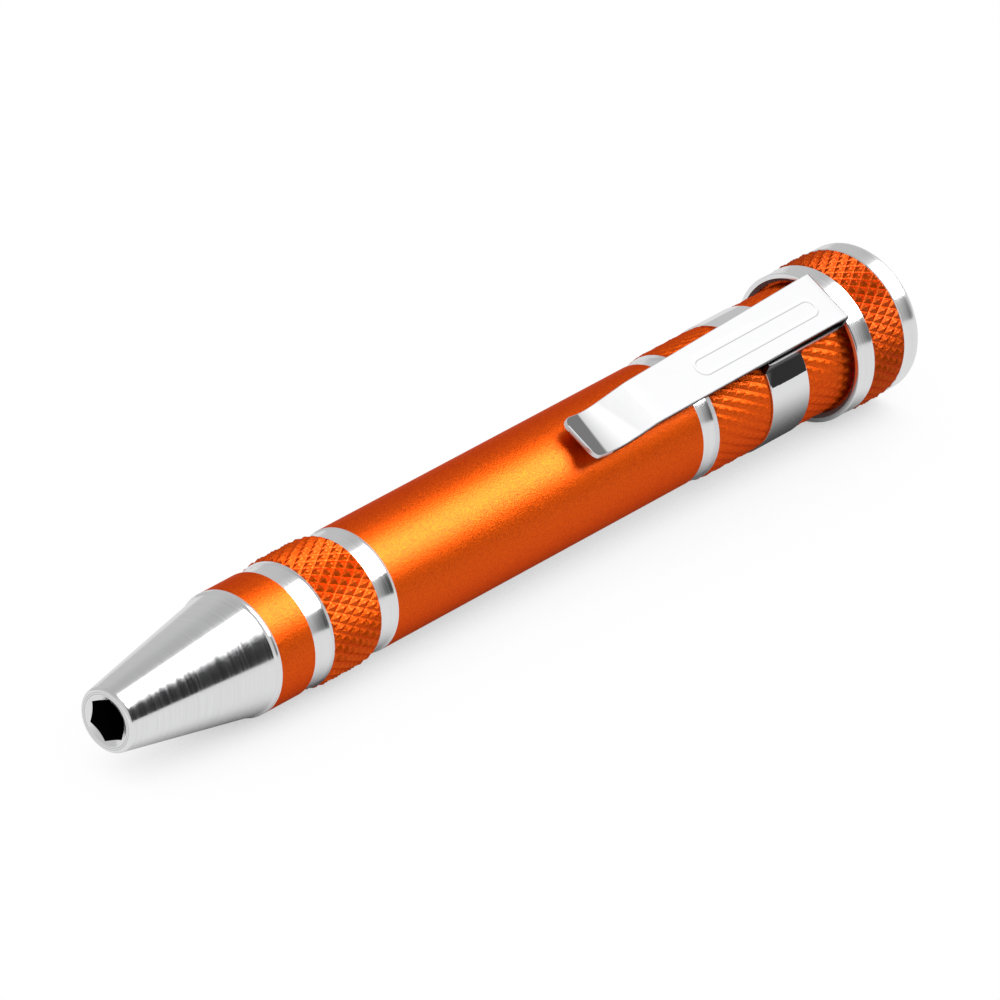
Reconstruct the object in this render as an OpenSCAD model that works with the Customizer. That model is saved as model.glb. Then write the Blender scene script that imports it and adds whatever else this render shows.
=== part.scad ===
// Pocket screwdriver with a hex socket in the nose, a clip, and bits stored behind a screw cap.
// Millimetres, +Z up. The tool lies along X, nose towards -X, on the rim of its cap.
// The origin is on the ground, under the middle of the footprint.

/* [Barrel] */
// Wall of the barrel around the stored bits
barrel_wall = 1; // [0.8:0.05:3]
// Plain band behind the nose cone
front_band_length = 4.95; // [3:0.05:8]
// First bright ring
front_ring_length = 2.55; // [1.5:0.05:4]
// First knurled band
front_knurl_length = 6.7; // [4:0.1:12]
// Second bright ring
middle_ring_length = 2.4; // [1.5:0.05:4]
// Long plain grip
grip_length = 45.5; // [40:0.5:80]
// Third bright ring
rear_ring_length = 2.1; // [1.5:0.05:4]
// Knurled band in front of the clip
middle_knurl_length = 8; // [5:0.1:14]
// Groove that holds the collar of the clip
clip_groove_length = 5.65; // [4:0.05:9]
// Knurled band between the clip and the cap, as far as it shows
rear_knurl_length = 6.35; // [5:0.05:10]
// How far the rear knurl runs into the mouth of the cap
cap_overlap = 1; // [0.6:0.1:2]
// Depth of the bright rings under the barrel
ring_depth = 0.15; // [0.05:0.01:0.3]
// Depth of the clip groove under the barrel
clip_groove_depth = 0.15; // [0.05:0.01:0.3]
// Wall of the threaded neck that takes the cap
neck_wall = 0.7; // [0.6:0.02:0.75]
// Length of the threaded neck
neck_length = 5; // [4:0.1:9]

/* [Knurling] */
// Width of one diamond, round the barrel
knurl_pitch = 1.14; // [0.9:0.02:2]
// Angle of the grooves to the axis, which makes the diamonds longer than they are wide
knurl_angle = 30; // [25:1:45]
// Depth from the points of the diamonds to the grooves
knurl_depth = 0.3; // [0.2:0.01:0.5]
// How far the points stand above the plain surface
knurl_rise = 0.32; // [0.1:0.01:0.5]

/* [Nose cone] */
// Length of the bare cone
nose_length = 17.5; // [15:0.1:26]
// Width of the face between the cone and the chamfer of the socket
nose_tip_land = 0.62; // [0.5:0.02:1.5]
// Rounding of the edge of the tip
nose_edge_radius = 0.4; // [0.1:0.05:0.8]
// Step between the cone and the barrel
nose_step = 0.2; // [0.1:0.05:0.4]
// Width of the land at the big end of the cone
nose_land_length = 0.5; // [0.3:0.05:1]
// Depth of the hex socket
socket_depth = 10; // [7:0.5:12]
// Chamfer of the socket mouth
socket_chamfer = 0.4; // [0.2:0.05:0.6]
// Turn of the socket's corners from straight up, towards -Y
socket_turn = 7; // [0:1:60]
// Diameter of the threaded spigot inside the barrel
spigot_d = 9; // [7:0.1:10.5]
// Length of the spigot
spigot_length = 8; // [5:0.1:12]
// Diameter of the magnet behind the socket
magnet_d = 4; // [3:0.1:4]
// Thickness of the magnet
magnet_thickness = 2; // [1:0.1:3]

/* [Bits] */
// Width of a bit across its flats
bit_af = 4; // [3.6:0.05:5]
// Length of a bit
bit_length = 28; // [24:0.5:30]
// Length of the hexagonal shank
bit_hex_length = 17; // [12:0.5:20]
// Length of the cone between shank and neck
bit_cone_length = 1.6; // [1:0.1:3]
// Diameter of the turned neck
bit_neck_d = 3; // [2.8:0.05:3.4]
// Length of the shaped tip
bit_tip_length = 3; // [2:0.1:4]
// Chamfer of the back end
bit_chamfer = 0.3; // [0.1:0.05:0.5]
// Blade width of the small slotted bit
slot_small_w = 2; // [1.5:0.1:2.4]
// Blade width of the large slotted bit
slot_large_w = 2.8; // [2.5:0.1:2.8]
// Blade thickness at the edge of a slotted bit
slot_edge = 0.4; // [0.3:0.05:0.6]
// Diameter of the small cross tip
cross_small_d = 1.6; // [1.4:0.1:1.8]
// Diameter of the middle cross tip
cross_middle_d = 2.2; // [2:0.1:2.4]
// Diameter of the large cross tip
cross_large_d = 2.8; // [2.6:0.1:2.8]
// Diameter of the small star tip
star_small_d = 1.7; // [1.5:0.05:1.8]
// Diameter of the middle star tip
star_middle_d = 2.3; // [2:0.05:2.4]
// Diameter of the large star tip
star_large_d = 2.75; // [2.5:0.05:2.8]

/* [Clip] */
// Thickness of the clip's sheet
clip_sheet = 0.5; // [0.3:0.05:0.6]
// Turn of the clip away from straight up, towards -Y
clip_angle = 29.5; // [0:0.5:60]
// Width of the strip at the fold
clip_rear_width = 6.1; // [4:0.1:8]
// Width of the strip at its tip
clip_tip_width = 5.2; // [3:0.1:8]
// Sideways set of the tip
clip_tip_offset = 0.6; // [0:0.1:1]
// Length of the strip from the fold to the tip
clip_length = 38.4; // [30:0.1:50]
// Length of the part in front of the bend
clip_nose_length = 9.4; // [7:0.1:12]
// Length of the upturned tip
clip_tip_length = 3.9; // [2:0.1:6]
// Height of the fold
clip_fold_height = 2; // [1.4:0.05:2.4]
// Height of the strip over the barrel at the bend
clip_bend_rise = 1.85; // [1:0.05:3]
// Height of the upturned tip over the barrel
clip_tip_rise = 1.65; // [1:0.05:3]
// Clearance between the tongue and the rear knurl
clip_tongue_clearance = 0.13; // [0.1:0.01:0.6]
// Rounding of the tip's corners
clip_corner_radius = 1.3; // [0.5:0.1:2]
// Length of the stamped panel
clip_panel_length = 18.6; // [10:0.1:24]
// Width of the stamped panel
clip_panel_width = 2.5; // [1.5:0.1:3.5]
// Depth of the stamped panel
clip_panel_depth = 0.08; // [0.05:0.01:0.15]
// Distance from the fold to the stamped panel
clip_panel_inset = 2; // [1:0.1:5]
// Gap in the collar, opposite the strip
collar_gap = 4.5; // [2:0.1:7]

/* [Tail cap] */
// Rim of the bright front flange around the mouth
cap_rim = 0.88; // [0.8:0.02:2]
// Length of the front flange
cap_flange_length = 2.55; // [1.5:0.05:4]
// Length of the knurled band
cap_knurl_length = 4.7; // [3:0.1:8]
// Length of the bright rear band
cap_rear_length = 2.45; // [2:0.05:4]
// Thickness of the closed end
cap_end_wall = 1.8; // [1:0.1:1.9]
// Rounding of the rear edge
cap_edge_radius = 0.7; // [0.2:0.05:1]
// Chamfer of the mouth
cap_mouth_chamfer = 0.4; // [0.2:0.05:0.6]
// Gap between the rear knurl and the mouth
cap_mouth_clearance = 0.25; // [0.15:0.01:0.5]
// Gap around the pad in the end of the cap
pad_side_clearance = 0.45; // [0.1:0.05:1]
// Thickness of the pad
pad_thickness = 1.5; // [1:0.1:1.6]

/* [Clearances] */
// Running clearance of the threads, on the radius
thread_clearance = 0.05; // [0.02:0.01:0.1]
// Clearance of the clip, the magnet and the spigot, on the radius
fit_clearance = 0.03; // [0.01:0.01:0.08]
// Clearance of a bit in the socket, on each flat
socket_clearance = 0.04; // [0.02:0.01:0.1]
// Clearance between stored bits
bit_clearance = 0.1; // [0.05:0.01:0.2]
// Clearance of the stored bits to the wall around them
magazine_clearance = 0.138; // [0.05:0.002:0.3]
// Gap between the fold of the clip and the cap
fold_clearance = 0.35; // [0.2:0.05:0.8]
// Gap between the bits and the pad
pad_clearance = 0.3; // [0.1:0.05:1]
// Gap between the valley of the clip and the barrel
valley_clearance = 0.05; // [0.02:0.01:0.1]
// Opening in the fold, where the strip flexes
flex_gap = 0.1; // [0.08:0.01:0.15]

/* [Hidden] */
$fn = 96;
overrun = 0.5;

// Stations along the axis, counted from the face of the nose
z_front_band = nose_length;
z_front_ring = z_front_band + front_band_length;
z_front_knurl = z_front_ring + front_ring_length;
z_middle_ring = z_front_knurl + front_knurl_length;
z_grip = z_middle_ring + middle_ring_length;
z_rear_ring = z_grip + grip_length;
z_middle_knurl = z_rear_ring + rear_ring_length;
z_clip_groove = z_middle_knurl + middle_knurl_length;
z_rear_knurl = z_clip_groove + clip_groove_length;
z_cap = z_rear_knurl + rear_knurl_length;
z_neck = z_cap + cap_overlap;
z_neck_end = z_neck + neck_length;
z_cap_knurl = z_cap + cap_flange_length;
z_cap_rear = z_cap_knurl + cap_knurl_length;
z_end = z_cap_rear + cap_rear_length;
z_pad = z_end - cap_end_wall - pad_thickness;
z_rear_bits = z_pad - pad_clearance - bit_length;
z_front_bits = z_rear_bits - bit_clearance - bit_length;

// Two flats of a pair of bits touch side by side, and two corners one above the other
bit_corner_r = bit_af / sqrt(3);
bit_side = bit_af / 2 + bit_clearance / 2;
bit_lift = bit_corner_r + bit_clearance / 2;
bits_r = norm([bit_side + bit_af / 2, bit_lift + bit_corner_r / 2]);

// Radii of the barrel and the cap, from the stored bits outwards
magazine_r = bits_r + magazine_clearance;
barrel_r = magazine_r + barrel_wall;
ring_r = barrel_r - ring_depth;
groove_r = barrel_r - clip_groove_depth;
peak_r = barrel_r + knurl_rise;
root_r = peak_r - knurl_depth;
core_cover = knurl_depth / 2;
neck_r = magazine_r + neck_wall;
neck_chamfer = neck_length / 12;
cap_bore_r = neck_r + thread_clearance;
cap_mouth_r = peak_r + cap_mouth_clearance;
flange_r = cap_mouth_r + cap_rim;
cap_peak_r = flange_r + knurl_rise / 2;
cap_root_r = cap_peak_r - knurl_depth;
axis_height = cap_peak_r;

socket_corner_r = (bit_af / 2 + socket_clearance) * 2 / sqrt(3);
nose_tip_r = socket_corner_r + socket_chamfer + nose_tip_land;
spigot_r = spigot_d / 2;

// Heights of the clip over the axis, before it is turned to its angle
fold_r = clip_fold_height / 2;
fold_inner_r = fold_r - clip_sheet;
tongue_x = peak_r + clip_tongue_clearance;
fold_x = tongue_x + fold_r;
fold_z = z_cap - fold_clearance - fold_r;
clip_top_x = fold_x + fold_r;
clip_tip_z = z_cap - fold_clearance - clip_length;

round_steps = 6;

// Lays the axis, which the modules draw along Z with X up, along world X
module lay() {
    translate([-z_end / 2, 0, axis_height])
        rotate([0, 90, 0])
            rotate([0, 0, 180])
                children();
}

// Extrudes a side view, drawn as [along the axis, height], to both sides of the middle
module side_view(width) {
    rotate([0, -90, -90])
        translate([0, 0, -width / 2])
            linear_extrude(width)
                children();
}

// Extrudes a plan, drawn as [along the axis, sideways], from the axis up
module plan_view(height) {
    rotate([0, -90, 0])
        translate([0, 0, -height])
            linear_extrude(height)
                children();
}

// Quarter circle from a1 to a2, for rounded edges
function arc(centre, r, a1, a2) = [
    for (k = [0 : round_steps])
        centre + r * [cos(a1 + (a2 - a1) * k / round_steps), sin(a1 + (a2 - a1) * k / round_steps)]
];

// A knurl is a grid of points: the grooves run diagonally through the even ones, and the odd
// ones are the tips of the diamonds. The first and last row stay at groove depth.
module knurled_band(groove_radius, point_radius, length) {
    columns = 2 * round(2 * PI * point_radius / knurl_pitch);
    rows = round(2 * length / (knurl_pitch / tan(knurl_angle)));
    points = [
        for (j = [0 : rows], i = [0 : columns - 1])
            let (
                tip = (i + j) % 2 == 1 && j > 0 && j < rows,
                r = tip ? point_radius : groove_radius,
                a = 360 * i / columns
            )
            [r * cos(a), r * sin(a), length * j / rows]
    ];
    facets = [
        for (j = [0 : rows - 1], i = [0 : columns - 1])
            let (
                a = j * columns + i,
                b = j * columns + (i + 1) % columns,
                c = a + columns,
                d = b + columns
            )
            each (i + j) % 2 == 0 ? [[a, c, d], [a, d, b]] : [[a, c, b], [b, c, d]]
    ];
    front = [for (i = [0 : columns - 1]) i];
    back = [for (i = [columns - 1 : -1 : 0]) rows * columns + i];
    polyhedron(points, concat(facets, [front, back]));
}

// Turned cone with the hex socket in its tip and a threaded spigot behind
module nose_cone() {
    big_r = barrel_r - nose_step;
    edge = nose_edge_radius;
    spigot_end = z_front_band + spigot_length;
    chamfer = spigot_length / 12;
    color("silver")
        rotate([0, 0, socket_turn])
            difference() {
                rotate_extrude()
                    polygon(concat(
                        [[0, 0]],
                        arc([nose_tip_r - edge, edge], edge, -90, 0),
                        [
                            [big_r, nose_length - nose_land_length],
                            [barrel_r, nose_length - nose_land_length + nose_step],
                            [barrel_r, z_front_band],
                            [spigot_r, z_front_band],
                            [spigot_r, spigot_end - chamfer],
                            [spigot_r - chamfer, spigot_end],
                            [0, spigot_end]
                        ]
                    ));
                translate([0, 0, -overrun])
                    cylinder(h = socket_depth + overrun, r = socket_corner_r, $fn = 6);
                translate([0, 0, -socket_chamfer])
                    cylinder(h = 2 * socket_chamfer, r1 = socket_corner_r + 2 * socket_chamfer,
                        r2 = socket_corner_r);
                translate([0, 0, socket_depth - overrun])
                    cylinder(h = magnet_thickness + overrun, r = magnet_d / 2 + fit_clearance);
            }
}

// Disc magnet that holds a bit by its back end
module socket_magnet() {
    edge = magnet_thickness / 10;
    r = magnet_d / 2;
    color("dimgray")
        translate([0, 0, socket_depth])
            rotate_extrude()
                polygon([
                    [0, 0], [r - edge, 0], [r, edge],
                    [r, magnet_thickness - edge], [r - edge, magnet_thickness], [0, magnet_thickness]
                ]);
}

// One turned piece: plain bands, bright rings, knurls, clip groove and threaded neck
module barrel() {
    core_r = root_r - core_cover;
    bore_depth = spigot_length + fit_clearance;
    color("orangered")
        difference() {
            union() {
                rotate_extrude()
                    polygon([
                        [0, z_front_band],
                        [barrel_r - ring_depth, z_front_band],
                        [barrel_r, z_front_band + ring_depth],
                        [barrel_r, z_front_ring - ring_depth],
                        [ring_r, z_front_ring],
                        [ring_r, z_front_knurl],
                        [core_r, z_front_knurl],
                        [core_r, z_middle_ring],
                        [ring_r, z_middle_ring],
                        [ring_r, z_grip],
                        [barrel_r, z_grip + ring_depth],
                        [barrel_r, z_rear_ring - ring_depth],
                        [ring_r, z_rear_ring],
                        [ring_r, z_middle_knurl],
                        [core_r, z_middle_knurl],
                        [core_r, z_clip_groove],
                        [groove_r, z_clip_groove],
                        [groove_r, z_rear_knurl],
                        [core_r, z_rear_knurl],
                        [core_r, z_neck],
                        [neck_r, z_neck],
                        [neck_r, z_neck_end - neck_chamfer],
                        [neck_r - neck_chamfer, z_neck_end],
                        [0, z_neck_end]
                    ]);
                translate([0, 0, z_front_knurl])
                    knurled_band(root_r, peak_r, front_knurl_length);
                translate([0, 0, z_middle_knurl])
                    knurled_band(root_r, peak_r, middle_knurl_length);
                translate([0, 0, z_rear_knurl])
                    knurled_band(root_r, peak_r, rear_knurl_length + cap_overlap);
            }
            translate([0, 0, z_front_band - overrun])
                cylinder(h = bore_depth + overrun, r = spigot_r + fit_clearance);
            translate([0, 0, z_front_bits - bit_clearance])
                cylinder(h = z_end - z_front_bits, r = magazine_r);
        }
}

// Round section with a square ridge on top
module ridged_disc(r, ridge_x, ridge_width) {
    circle(r = r);
    translate([0, -ridge_width / 2])
        square([ridge_x, ridge_width]);
}

// Half of the fold's quarter rings: side is 1 above the flex line and -1 under it
module fold_quarter(side) {
    intersection() {
        difference() {
            circle(r = fold_r);
            circle(r = fold_inner_r);
        }
        translate([0, side > 0 ? flex_gap / 2 : -fold_r])
            square([fold_r, fold_r - flex_gap / 2]);
    }
}

// Open collar that snaps into the groove, with the tongue that carries the fold
module clip_collar() {
    inner_r = groove_r + fit_clearance;
    band_start = z_clip_groove + fit_clearance;
    band_length = clip_groove_length - 2 * fit_clearance;
    color("gainsboro")
        rotate([0, 0, clip_angle]) {
            translate([0, 0, band_start])
                linear_extrude(band_length)
                    difference() {
                        ridged_disc(inner_r + clip_sheet, tongue_x + clip_sheet, clip_rear_width);
                        ridged_disc(inner_r, tongue_x, clip_rear_width - 2 * clip_sheet);
                        translate([-2 * barrel_r, -collar_gap / 2])
                            square([2 * barrel_r, collar_gap]);
                    }
            side_view(clip_rear_width) {
                translate([band_start, tongue_x])
                    square([fold_z - band_start, clip_sheet]);
                translate([fold_z, fold_x])
                    fold_quarter(-1);
            }
        }
}

function unit(v) = v / norm(v);
// Rounds the corner b between a and c; share is how much of both legs the bend takes
function bend(a, b, c, share) = [
    for (k = [0 : round_steps])
        let (t = k / round_steps, p = b + (a - b) * share, q = b + (c - b) * share)
        (1 - t) * (1 - t) * p + 2 * t * (1 - t) * b + t * t * q
];
// Moves each point of a path to the left by a distance
function beside(path, distance) = [
    for (k = [0 : len(path) - 1])
        let (d = unit(path[min(k + 1, len(path) - 1)] - path[max(k - 1, 0)]))
        path[k] + distance * [-d.y, d.x]
];

// Sprung strip: from the fold forwards, down to the barrel and up again at the tip
module clip_arm() {
    rear = [fold_z, clip_top_x];
    crest = [clip_tip_z + clip_nose_length, barrel_r + clip_bend_rise];
    valley = [clip_tip_z + clip_tip_length, barrel_r + valley_clearance + clip_sheet];
    tip = [clip_tip_z, barrel_r + clip_tip_rise];
    crest_share = 0.06;
    valley_share = 0.35;
    top = concat(
        [rear],
        bend(rear, crest, valley, crest_share),
        bend(crest, valley, tip, valley_share),
        [tip]
    );
    under = beside(top, clip_sheet);
    slope = atan2(rear.y - crest.y, rear.x - crest.x);
    panel_r = clip_panel_width / 2;
    color("gainsboro")
        rotate([0, 0, clip_angle])
            difference() {
                intersection() {
                    side_view(2 * clip_rear_width) {
                        polygon(concat(top, [for (k = [len(under) - 1 : -1 : 0]) under[k]]));
                        translate([fold_z, fold_x])
                            fold_quarter(1);
                    }
                    plan_view(2 * clip_top_x)
                        clip_outline();
                }
                translate([0, 0, fold_z])
                    translate([clip_top_x, 0, 0])
                        rotate([0, slope, 0])
                            translate([0, 0, fold_r - clip_panel_inset - clip_panel_length])
                                rotate([0, 90, 0])
                                    translate([0, 0, -clip_panel_depth])
                                        linear_extrude(clip_panel_depth + overrun)
                                            clip_panel(panel_r);
            }
}

// Stamped panel with round ends, drawn from its front end backwards
module clip_panel(r) {
    for (end = [r, clip_panel_length - r])
        translate([-end, 0])
            circle(r = r);
    translate([r - clip_panel_length, -r])
        square([clip_panel_length - 2 * r, 2 * r]);
}

// Plan of the strip: it narrows towards the tip, whose corners are round
module clip_outline() {
    front = clip_tip_z + clip_corner_radius;
    half_rear = clip_rear_width / 2;
    half_tip = clip_tip_width / 2;
    inset = half_tip - clip_corner_radius;
    polygon([
        [fold_z + clip_fold_height, half_rear],
        [fold_z, half_rear],
        [front, clip_tip_offset + half_tip],
        [front, clip_tip_offset - half_tip],
        [fold_z, -half_rear],
        [fold_z + clip_fold_height, -half_rear]
    ]);
    translate([clip_tip_z, clip_tip_offset - inset])
        square([clip_corner_radius, 2 * inset]);
    for (side = [-inset, inset])
        translate([front, clip_tip_offset + side])
            circle(r = clip_corner_radius);
}

// Soft disc in the end of the cap, which keeps the bits from rattling
module cap_pad() {
    color("#333333")
        translate([0, 0, z_pad])
            cylinder(h = pad_thickness, r = cap_bore_r - pad_side_clearance);
}

// Screw cap: flange, knurl and rounded end, over the mouth and the threaded bore
module cap_body() {
    edge = cap_mouth_chamfer / 4;
    core_r = cap_root_r - core_cover;
    rotate_extrude()
        polygon(concat(
            [
                [0, z_cap],
                [flange_r - edge, z_cap],
                [flange_r, z_cap + edge],
                [flange_r, z_cap_knurl - edge],
                [flange_r - edge, z_cap_knurl],
                [core_r, z_cap_knurl],
                [core_r, z_cap_rear],
                [flange_r - edge, z_cap_rear],
                [flange_r, z_cap_rear + edge]
            ],
            arc([flange_r - cap_edge_radius, z_end - cap_edge_radius], cap_edge_radius, 0, 90),
            [[0, z_end]]
        ));
}

module tail_cap() {
    color("orangered")
        difference() {
            union() {
                cap_body();
                translate([0, 0, z_cap_knurl])
                    knurled_band(cap_root_r, cap_peak_r, cap_knurl_length);
            }
            translate([0, 0, z_cap - overrun])
                cylinder(h = cap_overlap + overrun, r = cap_mouth_r);
            translate([0, 0, z_cap - cap_mouth_chamfer])
                cylinder(h = 2 * cap_mouth_chamfer, r1 = cap_mouth_r + 2 * cap_mouth_chamfer,
                    r2 = cap_mouth_r);
            translate([0, 0, z_cap])
                cylinder(h = z_end - cap_end_wall - z_cap, r = cap_bore_r);
        }
}

// Hexagonal shank with a chamfered back, a cone and a turned neck, back end at the origin
module bit_blank() {
    neck_r = bit_neck_d / 2;
    intersection() {
        cylinder(h = bit_length, r = bit_corner_r, $fn = 6);
        rotate_extrude()
            polygon([
                [0, 0],
                [bit_corner_r - bit_chamfer, 0],
                [bit_corner_r + bit_chamfer, 2 * bit_chamfer],
                [bit_corner_r + bit_chamfer, bit_hex_length],
                [neck_r, bit_hex_length + bit_cone_length],
                [neck_r, bit_length - bit_tip_length],
                [0, bit_length - bit_tip_length]
            ]);
    }
}

// Flat blade, ground thinner towards its edge
module slotted_tip(width) {
    root = bit_neck_d / 2;
    edge = slot_edge / 2;
    intersection() {
        rotate([90, 0, 0])
            translate([0, 0, -bit_neck_d])
                linear_extrude(2 * bit_neck_d)
                    polygon([[-root, -overrun], [root, -overrun], [edge, bit_tip_length],
                        [-edge, bit_tip_length]]);
        translate([-bit_neck_d, -width / 2, -overrun])
            cube([2 * bit_neck_d, width, bit_tip_length + overrun]);
        translate([0, 0, -overrun])
            cylinder(h = bit_tip_length + overrun, r = root);
    }
}

// Pointed cross, cut by four notches between its wings
module cross_tip(d) {
    r = d / 2;
    wing = d / 9;
    blunt = r / 3;
    taper = 8;
    difference() {
        translate([0, 0, -overrun])
            rotate_extrude()
                polygon([[0, 0], [r, 0], [r, overrun + bit_tip_length - 1.5 * r],
                    [blunt, overrun + bit_tip_length], [0, overrun + bit_tip_length]]);
        for (k = [0 : 3])
            rotate([0, 0, 90 * k])
                translate([wing, wing, bit_tip_length / 4])
                    rotate([-taper, taper, 0])
                        cube([r, r, bit_tip_length]);
    }
    translate([0, 0, -overrun])
        cylinder(h = overrun + bit_tip_length / 4, r1 = bit_neck_d / 2, r2 = r);
}

// Six-lobed star
module star_tip(d) {
    r = d / 2;
    lobes = 6;
    flute_centre_share = 1.18;
    flute_share = 0.42;
    cone_share = 0.8;
    linear_extrude(bit_tip_length)
        difference() {
            circle(r = r);
            for (k = [0 : lobes - 1])
                rotate(360 / lobes * (k + 0.5))
                    translate([flute_centre_share * r, 0])
                        circle(r = flute_share * r);
        }
    translate([0, 0, -overrun])
        cylinder(h = overrun + bit_tip_length / 4, r1 = bit_neck_d / 2, r2 = cone_share * r);
}

// Puts a bit into the magazine: two layers of four, with their tips towards the nose
module stored_bit(layer_z, side, level) {
    color("gray")
        translate([level * bit_lift, side * bit_side, layer_z + bit_length])
            rotate([180, 0, 0]) {
                bit_blank();
                translate([0, 0, bit_length - bit_tip_length])
                    children();
            }
}

module bit_slotted_small() { stored_bit(z_front_bits, -1, -1) slotted_tip(slot_small_w); }
module bit_slotted_large() { stored_bit(z_front_bits, 1, -1) slotted_tip(slot_large_w); }
module bit_cross_small() { stored_bit(z_front_bits, -1, 1) cross_tip(cross_small_d); }
module bit_cross_middle() { stored_bit(z_front_bits, 1, 1) cross_tip(cross_middle_d); }
module bit_cross_large() { stored_bit(z_rear_bits, -1, -1) cross_tip(cross_large_d); }
module bit_star_small() { stored_bit(z_rear_bits, 1, -1) star_tip(star_small_d); }
module bit_star_middle() { stored_bit(z_rear_bits, -1, 1) star_tip(star_middle_d); }
module bit_star_large() { stored_bit(z_rear_bits, 1, 1) star_tip(star_large_d); }

lay() {
    nose_cone();
    socket_magnet();
    barrel();
    clip_collar();
    clip_arm();
    cap_pad();
    tail_cap();
    bit_slotted_small();
    bit_slotted_large();
    bit_cross_small();
    bit_cross_middle();
    bit_cross_large();
    bit_star_small();
    bit_star_middle();
    bit_star_large();
}
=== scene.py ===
import math

import bpy
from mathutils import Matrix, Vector


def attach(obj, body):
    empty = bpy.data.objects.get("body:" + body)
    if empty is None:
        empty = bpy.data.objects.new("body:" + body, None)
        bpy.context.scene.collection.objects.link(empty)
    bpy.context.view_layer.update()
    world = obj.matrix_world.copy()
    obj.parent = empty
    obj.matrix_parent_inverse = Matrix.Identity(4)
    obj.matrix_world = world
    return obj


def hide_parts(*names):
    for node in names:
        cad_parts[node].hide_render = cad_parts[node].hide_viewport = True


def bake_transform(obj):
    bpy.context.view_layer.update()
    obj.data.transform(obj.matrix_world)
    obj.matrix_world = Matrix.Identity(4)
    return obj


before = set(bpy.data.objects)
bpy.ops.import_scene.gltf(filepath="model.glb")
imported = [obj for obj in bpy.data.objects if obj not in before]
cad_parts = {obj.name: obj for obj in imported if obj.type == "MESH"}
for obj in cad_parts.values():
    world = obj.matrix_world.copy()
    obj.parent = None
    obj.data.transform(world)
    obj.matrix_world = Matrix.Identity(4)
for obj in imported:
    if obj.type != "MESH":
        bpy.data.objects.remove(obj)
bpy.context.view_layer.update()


# Barrel: one bar of aluminium, turned, knurled in three bands and bored from behind for the bits.
# It is blasted and anodised orange, and then the rings, the clip's groove and the edges of the
# bands are cut bright. The neck at its back end carries the thread of the cap.

# Sizes are in mm. A station is measured from the nose, and a radius or height from the axis.
TOOL_LENGTH = 111.4
AXIS_HEIGHT = 8.11

FRONT_BAND, FRONT_RING, FRONT_KNURL, MIDDLE_RING = 17.5, 22.45, 25.0, 31.7
GRIP, REAR_RING, MIDDLE_KNURL, CLIP_GROOVE = 34.1, 79.6, 81.7, 89.7
REAR_KNURL, CAP_MOUTH, NECK, NECK_END = 95.35, 101.7, 102.7, 107.7

BARREL_RADIUS, RING_RADIUS, RING_HOLLOW, BRIGHT_EDGE = 6.5, 6.35, 0.05, 0.15
NECK_RADIUS, NECK_CHAMFER, THREAD_PITCH, THREAD_DEPTH = 6.2, 0.4, 1.0, 0.22
SPIGOT_BORE, SPIGOT_BORE_END, MAGAZINE_BORE, MAGAZINE_START = 4.53, 25.53, 5.5, 51.6

KNURL_PITCH, KNURL_ANGLE = 1.14, 30
KNURL_ROOT, LIGHT_KNURL_ROOT, KNURL_POINT, UNDER_KNURL = 6.52, 6.64, 6.82, 6.25
MIDDLE_CROSS, REAR_CROSS = 0.5, 0.6


def on_tool(station, up, side):
    """A point in metres: its station from the nose in mm, and its height and side from the axis."""
    return ((station - TOOL_LENGTH / 2) / 1000, -side / 1000, (up + AXIS_HEIGHT) / 1000)


def round_tool(station, radius, angle):
    """A point at this radius, with its angle from straight up towards the camera's side."""
    return on_tool(station, radius * math.cos(angle), radius * math.sin(angle))


def empty_shell():
    """The points and faces of a piece, with the name of each face's finish."""
    return {"points": [], "faces": [], "finish": []}


def add_ring(shell, points):
    """Adds the points of one ring to a shell, and gives their numbers."""
    first = len(shell["points"])
    shell["points"].extend(points)
    return range(first, len(shell["points"]))


def join(shell, ring, after, finishes):
    """Closes the skin between two rings, of which one may be a single point in the middle."""
    for i, finish in enumerate(finishes):
        j = (i + 1) % len(finishes)
        corners = [ring[i % len(ring)], ring[j % len(ring)]]
        corners += [after[j % len(after)], after[i % len(after)]]
        corners = list(dict.fromkeys(corners))
        if len(corners) > 2:
            shell["faces"].append(corners)
            shell["finish"].append(finish)


def turn(shell, outline, facets=180, first_angle=0.0):
    """Turns an outline of (station, radius, finish) about the axis, outside from nose to tail."""
    rings = []
    for station, radius, _ in outline:
        rings.append(add_ring(shell, [
            round_tool(station, radius, math.radians(first_angle) + 2 * math.pi * i / facets)
            for i in range(facets if radius > 0 else 1)
        ]))
    for ring, after, (_, _, finish) in zip(rings, rings[1:], outline):
        join(shell, ring, after, [finish] * facets)


def hollow_ring(start, end, radius, hollow, finish, steps=12):
    """Outline of a bright ring, which the cutter leaves a little hollow across its width."""
    outline = []
    for k in range(steps + 1):
        sunk = hollow * (1 - (2 * k / steps - 1) ** 2)
        outline.append((start + (end - start) * k / steps, radius - sunk, finish))
    return outline


GROOVE_ROUND, GROOVE_DROP = 0.008, 0.09
FLANK_SLOPE, BLUNT_FROM, BLUNT_HEIGHT, BLUNT_SLOPE = 1.1, 0.7, 0.77, 0.75


def knurl_height(s, t, cross):
    """Pyramids between two sets of crossing grooves, with round grooves and blunt points."""
    one, other = (1 - abs(2 * (q % 1) - 1) for q in (s, t))
    low = min(1 - cross * (1 - one), other)
    low = math.sqrt(low * low + GROOVE_ROUND) - GROOVE_DROP
    if low < BLUNT_FROM:
        return FLANK_SLOPE * low
    return BLUNT_HEIGHT + BLUNT_SLOPE * (low - BLUNT_FROM)


KNURL_END_HEIGHT, KNURL_END_RISE = 0.12, 0.4


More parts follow.
